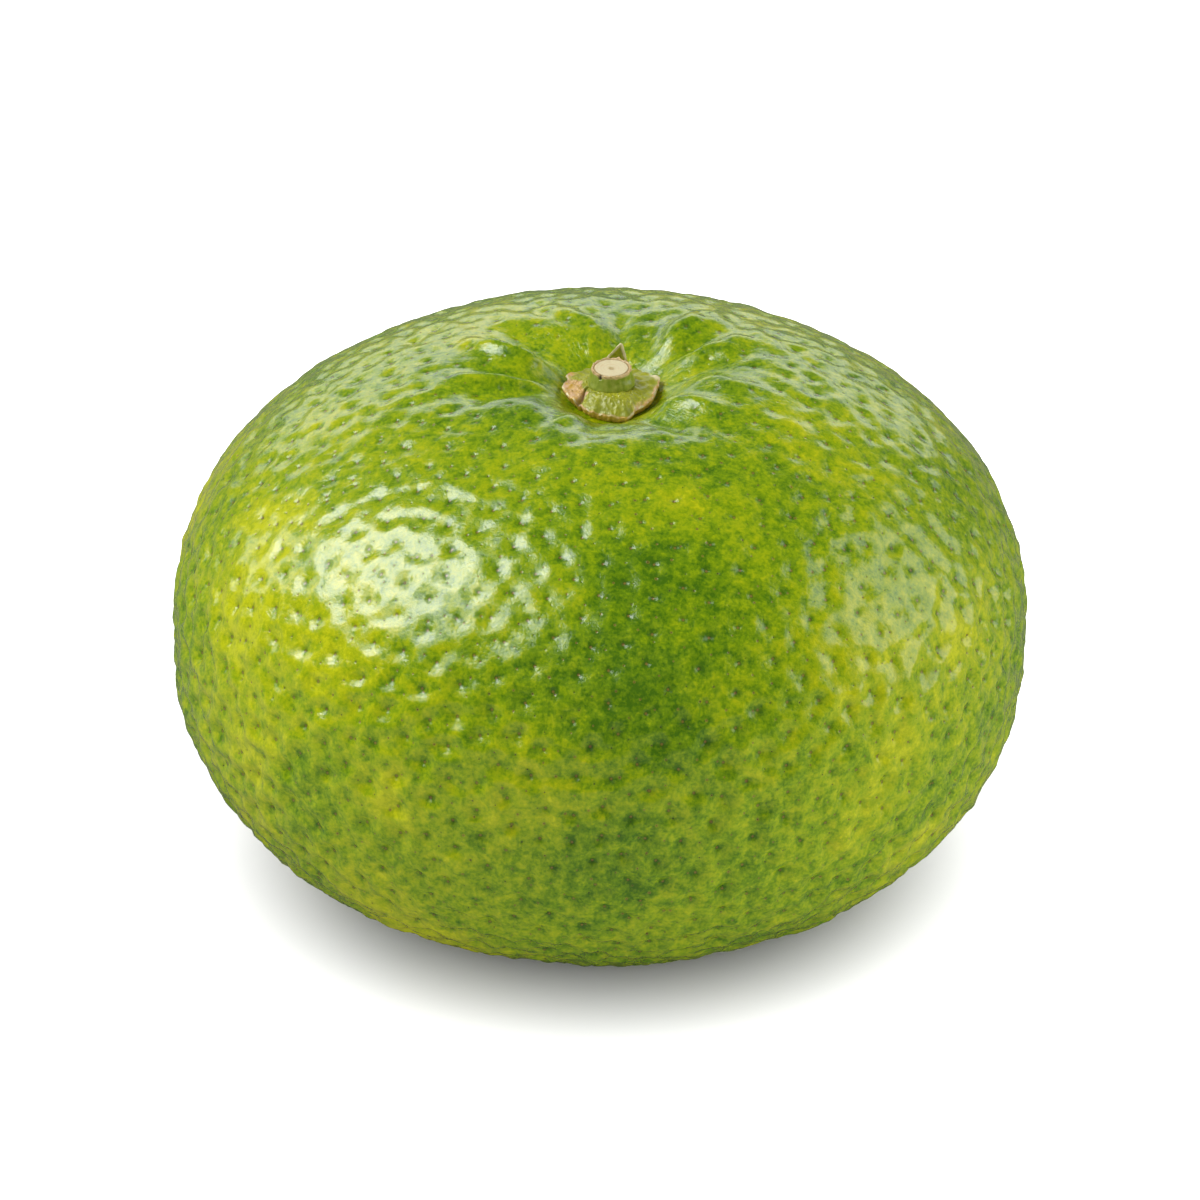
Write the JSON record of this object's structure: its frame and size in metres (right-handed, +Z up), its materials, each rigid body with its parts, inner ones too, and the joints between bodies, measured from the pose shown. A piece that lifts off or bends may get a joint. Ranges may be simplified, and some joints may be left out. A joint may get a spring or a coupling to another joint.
{
  "type": "mandarin",
  "caption": "Whole green mandarin: a flattened round fruit with a dimpled stem end that holds a lobed calyx and a short cut stem.",
  "frame": {"origin": "the middle of the small flat spot that the fruit rests on, at its lowest level and in the middle of the fruit's width and depth", "axes": "+Z up, from the blossom end to the stem end, along the fruit's short axis; +X towards the side that the stem end leans to; +Y towards the upright lobe of the calyx"},
  "size_m": [0.065, 0.065, 0.0437],
  "materials": {
    "peel": "waxy citrus peel, green with yellow patches, glossy, closely pitted with oil glands",
    "calyx": "dry olive-green sepals with warts and brown torn edges",
    "stem": "cut green twig: smooth green bark, ragged tan rim and pale wood with a small pith"
  },
  "bodies": {
    "root": {"fruit": "peel", "calyx": "calyx", "stem_stub": "stem"}
  },
  "joints": []
}
